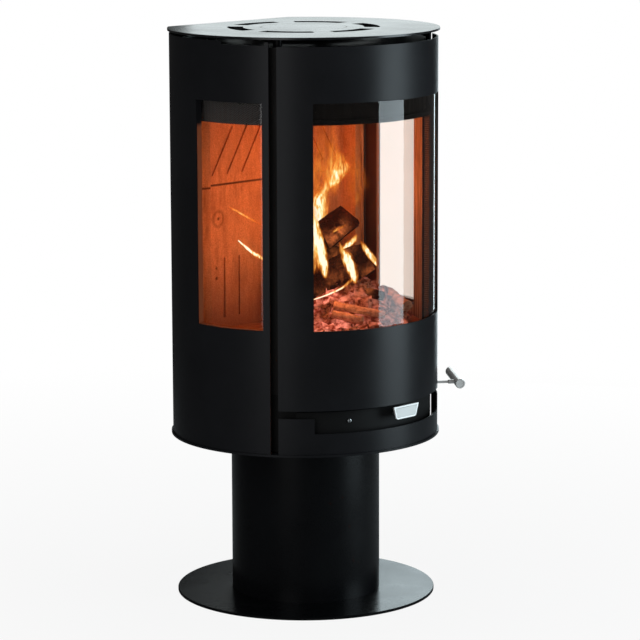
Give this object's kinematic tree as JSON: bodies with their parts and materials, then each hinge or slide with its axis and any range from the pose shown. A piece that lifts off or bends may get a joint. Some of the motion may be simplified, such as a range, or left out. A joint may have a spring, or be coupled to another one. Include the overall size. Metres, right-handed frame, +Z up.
{
  "type": "wood stove",
  "caption": "Free-standing wood stove on a round pedestal: D-shaped steel body, curved glazed door, curved side windows, pull-out air control and turning latch handle.",
  "frame": {"origin": "on the floor, on the pedestal's axis, which is also the centre of the curved front", "axes": "+X to the right of someone facing the stove, +Y to its back, +Z up"},
  "size_m": [0.5398, 0.5006, 1.065],
  "materials": {
    "black_paint": "satin black heat-proof paint",
    "firebox_steel": "matte black heat-proof paint",
    "zinc_steel": "zinc-plated sheet",
    "bright_steel": "bare bright steel",
    "polished_steel": "polished",
    "lining": "pressed mineral board",
    "grate_iron": "as cast",
    "clear_glass": "clear heat-proof glass",
    "gasket_rope": "knitted glass-fibre rope and tape"
  },
  "bodies": {
    "stove_body": {"floor_plate": "black_paint", "pedestal_column": "black_paint", "pedestal_flange": "firebox_steel", "pedestal_bolts": "zinc_steel", "bottom_plate": "black_paint", "front_skirt": "black_paint", "left_side_panel": "black_paint", "right_side_panel": "black_paint", "rear_panel": "black_paint", "rear_heat_shield": "zinc_steel", "top_plate": "black_paint", "flue_cover": "black_paint", "top_collar": "firebox_steel", "top_spacers": "firebox_steel", "panel_brackets": "firebox_steel", "air_box": "firebox_steel", "slot_backplate": "black_paint", "air_valve_plate": "firebox_steel", "air_spigot": "firebox_steel", "flue_spigot": "firebox_steel", "ash_floor": "firebox_steel", "ash_pan": "zinc_steel", "firebox_front_frame": "firebox_steel", "firebox_left_wall": "firebox_steel", "firebox_right_wall": "firebox_steel", "firebox_back": "firebox_steel", "firebox_floor": "firebox_steel", "firebox_top": "firebox_steel", "back_lining_lower": "lining", "back_lining_upper": "lining", "left_side_lining": "lining", "right_side_lining": "lining", "floor_lining": "lining", "grate": "grate_iron", "lower_baffle": "lining", "upper_baffle": "firebox_steel", "left_side_glass": "clear_glass", "right_side_glass": "clear_glass", "left_glass_gasket": "gasket_rope", "right_glass_gasket": "gasket_rope", "left_glass_clips": "zinc_steel", "right_glass_clips": "zinc_steel", "hinge_brackets": "firebox_steel", "hinge_pins": "zinc_steel", "latch_keeper": "firebox_steel"},
    "door": {"door_skin": "black_paint", "door_tray": "firebox_steel", "door_left_sill": "firebox_steel", "door_right_sill": "firebox_steel", "door_glass": "clear_glass", "door_glass_gasket": "gasket_rope", "door_rope_gasket": "gasket_rope", "door_hinge_lugs": "firebox_steel", "handle_boss": "black_paint"},
    "handle": {"handle_spindle": "bright_steel", "handle_bar": "polished_steel", "latch_finger": "firebox_steel"},
    "air_control": {"air_tab": "bright_steel", "air_stem": "zinc_steel", "air_damper": "zinc_steel"}
  },
  "joints": [
    {"name": "door_swing", "type": "hinge", "parent": "stove_body", "child": "door", "pos_m": [-0.19625, -0.1364, 0.711], "axis": [0, 0, -1], "range_deg": [0, 100]},
    {"name": "handle_turn", "type": "hinge", "parent": "door", "child": "handle", "pos_m": [0.20145, -0.14636, 0.3872], "axis": [0.809, -0.5878, 0], "range_deg": [-25, 60]},
    {"name": "air_slide", "type": "slide", "parent": "stove_body", "child": "air_control", "axis": [0, -1, 0], "range_m": [0, 0.035]}
  ]
}
